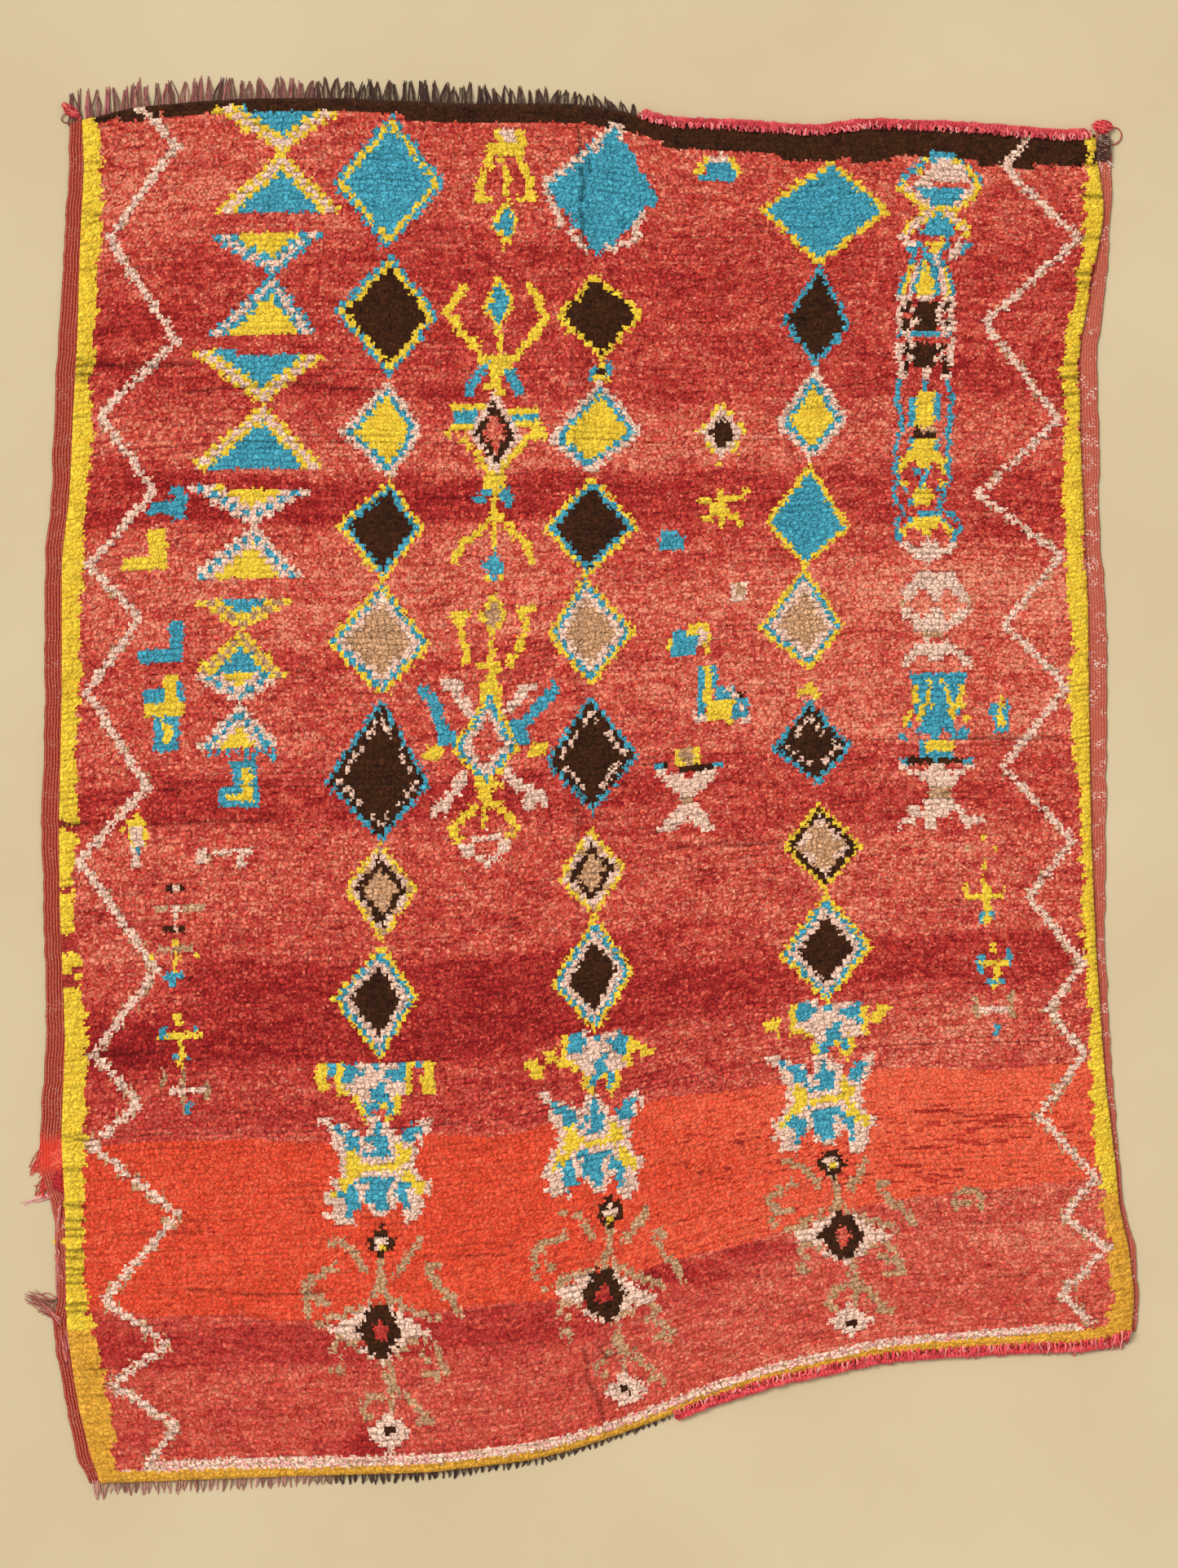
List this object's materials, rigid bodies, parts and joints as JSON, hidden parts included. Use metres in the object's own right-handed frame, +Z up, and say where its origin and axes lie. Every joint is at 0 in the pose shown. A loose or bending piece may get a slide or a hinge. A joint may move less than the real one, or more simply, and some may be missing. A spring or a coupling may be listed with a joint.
{
  "type": "moroccan rug",
  "caption": "Flat knotted wool pile rug, red ground with rows of lozenges, flat-woven sides, fringed and whipped ends, uneven hand-made outline.",
  "frame": {"origin": "at floor level, in the middle of the box round the whole rug with its fringes and frayed ends", "axes": "+Y along the rug's length, towards the end with the long fringe; +X across it; +Z up, out of the pile"},
  "size_m": [1.6539, 2.101, 0.0187],
  "materials": {
    "pile_wool": "knotted wool pile",
    "brown_yarn": "twisted wool warp ends",
    "dark_yarn": "twisted dark wool",
    "pink_yarn": "loose whipped wool",
    "rose_yarn": "loose whipped wool"
  },
  "bodies": {
    "root": {"rug_body": "pile_wool", "top_fringe": "brown_yarn", "bottom_fringe": "dark_yarn", "top_overcast": "pink_yarn", "bottom_overcast": "rose_yarn", "corner_overcast": "dark_yarn", "corner_tuft": "pink_yarn", "corner_knob": "rose_yarn", "frayed_selvage_upper": "rose_yarn", "frayed_selvage_lower": "brown_yarn"}
  },
  "joints": []
}
